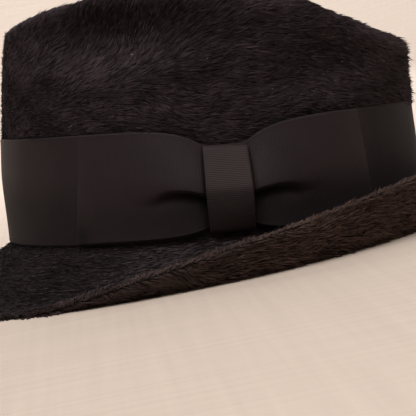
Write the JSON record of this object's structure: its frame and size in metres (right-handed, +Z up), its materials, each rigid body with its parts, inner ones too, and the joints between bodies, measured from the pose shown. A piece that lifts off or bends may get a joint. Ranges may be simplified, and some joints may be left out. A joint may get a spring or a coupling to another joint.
{
  "type": "trilby",
  "caption": "Fur felt hat with a creased and pinched crown, a brim snapped down in front and rolled up at the back, a tall ribbon band and a flat bow on the wearer's left.",
  "frame": {"origin": "on the surface that the hat rests on, under the middle of its box", "axes": "-Y to the wearer's front, +X to the wearer's left where the bow is, +Z up from the surface"},
  "size_m": [0.248, 0.2734, 0.1293],
  "materials": {
    "fur_felt": "long-napped velour fur felt, very dark brown, brushed back along the crown",
    "grosgrain": "ribbed grosgrain ribbon, dull satin, very dark brown"
  },
  "bodies": {
    "root": {"felt_body": "fur_felt", "hat_band": "grosgrain", "bow_front_loop": "grosgrain", "bow_rear_loop": "grosgrain", "bow_knot": "grosgrain"}
  },
  "joints": []
}
